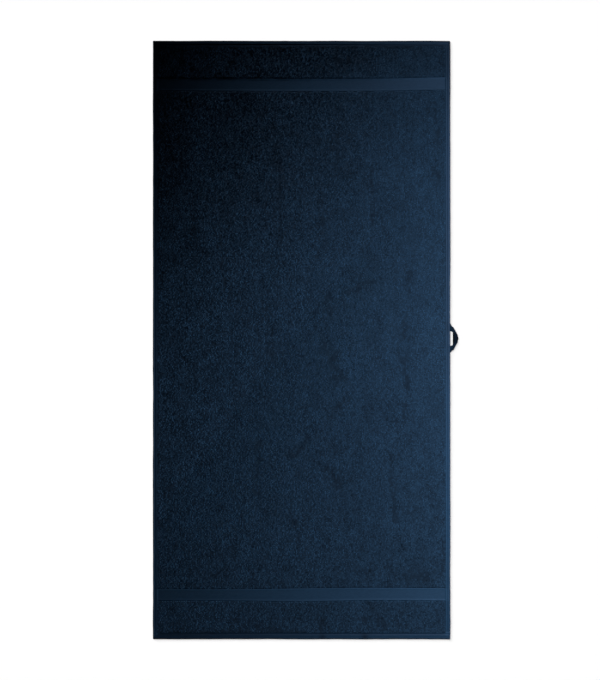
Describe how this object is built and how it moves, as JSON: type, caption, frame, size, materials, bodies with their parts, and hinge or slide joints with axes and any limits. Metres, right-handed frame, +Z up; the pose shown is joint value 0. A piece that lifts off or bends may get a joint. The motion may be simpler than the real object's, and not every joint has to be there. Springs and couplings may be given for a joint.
{
  "type": "bath towel",
  "caption": "Rectangular terry bath towel lying flat, with hemmed edges, a flat-woven border near each end and a folded tape loop on its long side to hang it by.",
  "frame": {"origin": "middle of the towel's underside, on the surface it lies on", "axes": "+Y along the towel's length towards its head end, +X across it towards the side with the hanging loop, +Z up out of the cloth"},
  "size_m": [0.7145, 1.4, 0.0044],
  "materials": {
    "terry_cloth": "matt looped pile",
    "woven_tape": "matt flat weave"
  },
  "bodies": {
    "root": {"towel_cloth": "terry_cloth", "hanging_loop": "woven_tape"}
  },
  "joints": []
}
